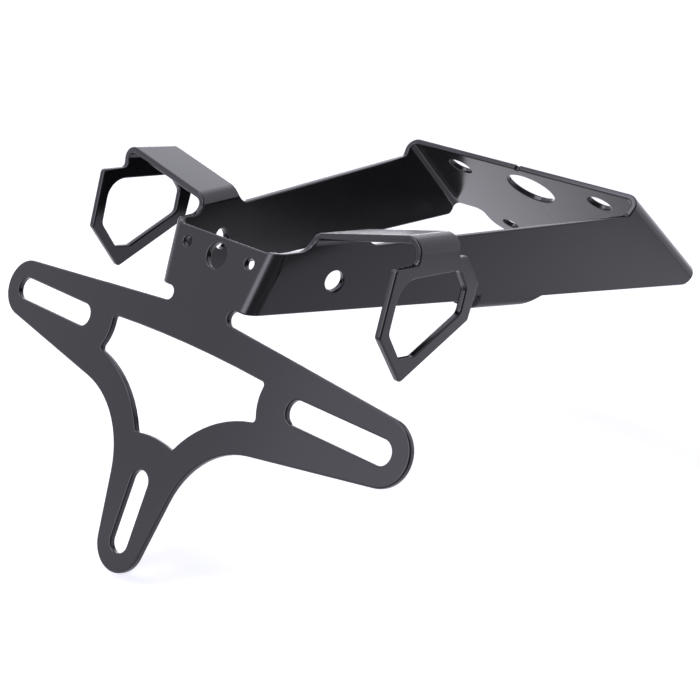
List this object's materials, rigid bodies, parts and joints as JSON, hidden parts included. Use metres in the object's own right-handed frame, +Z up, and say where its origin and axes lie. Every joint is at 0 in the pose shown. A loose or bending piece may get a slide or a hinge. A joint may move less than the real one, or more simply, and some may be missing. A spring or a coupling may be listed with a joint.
{
  "type": "tail tidy",
  "caption": "Folded black sheet-metal motorcycle tail tidy: slotted number plate holder on a leaning neck, splayed arms with angular indicator rings, and a sloping bolt-on mount flange.",
  "frame": {"origin": "midpoint between the centres of the two wing slots, on the front face of the number plate holder, where the number plate lies", "axes": "+X to the right as seen by someone behind the bike looking forward, +Y forward along the bike towards the tail mount, +Z up; the arms' bottom edges are level"},
  "size_m": [0.1588, 0.2203, 0.1068],
  "materials": {
    "powder_coat": "satin black powder coat on folded steel sheet"
  },
  "bodies": {
    "root": {"folded_bracket": "powder_coat"}
  },
  "joints": []
}
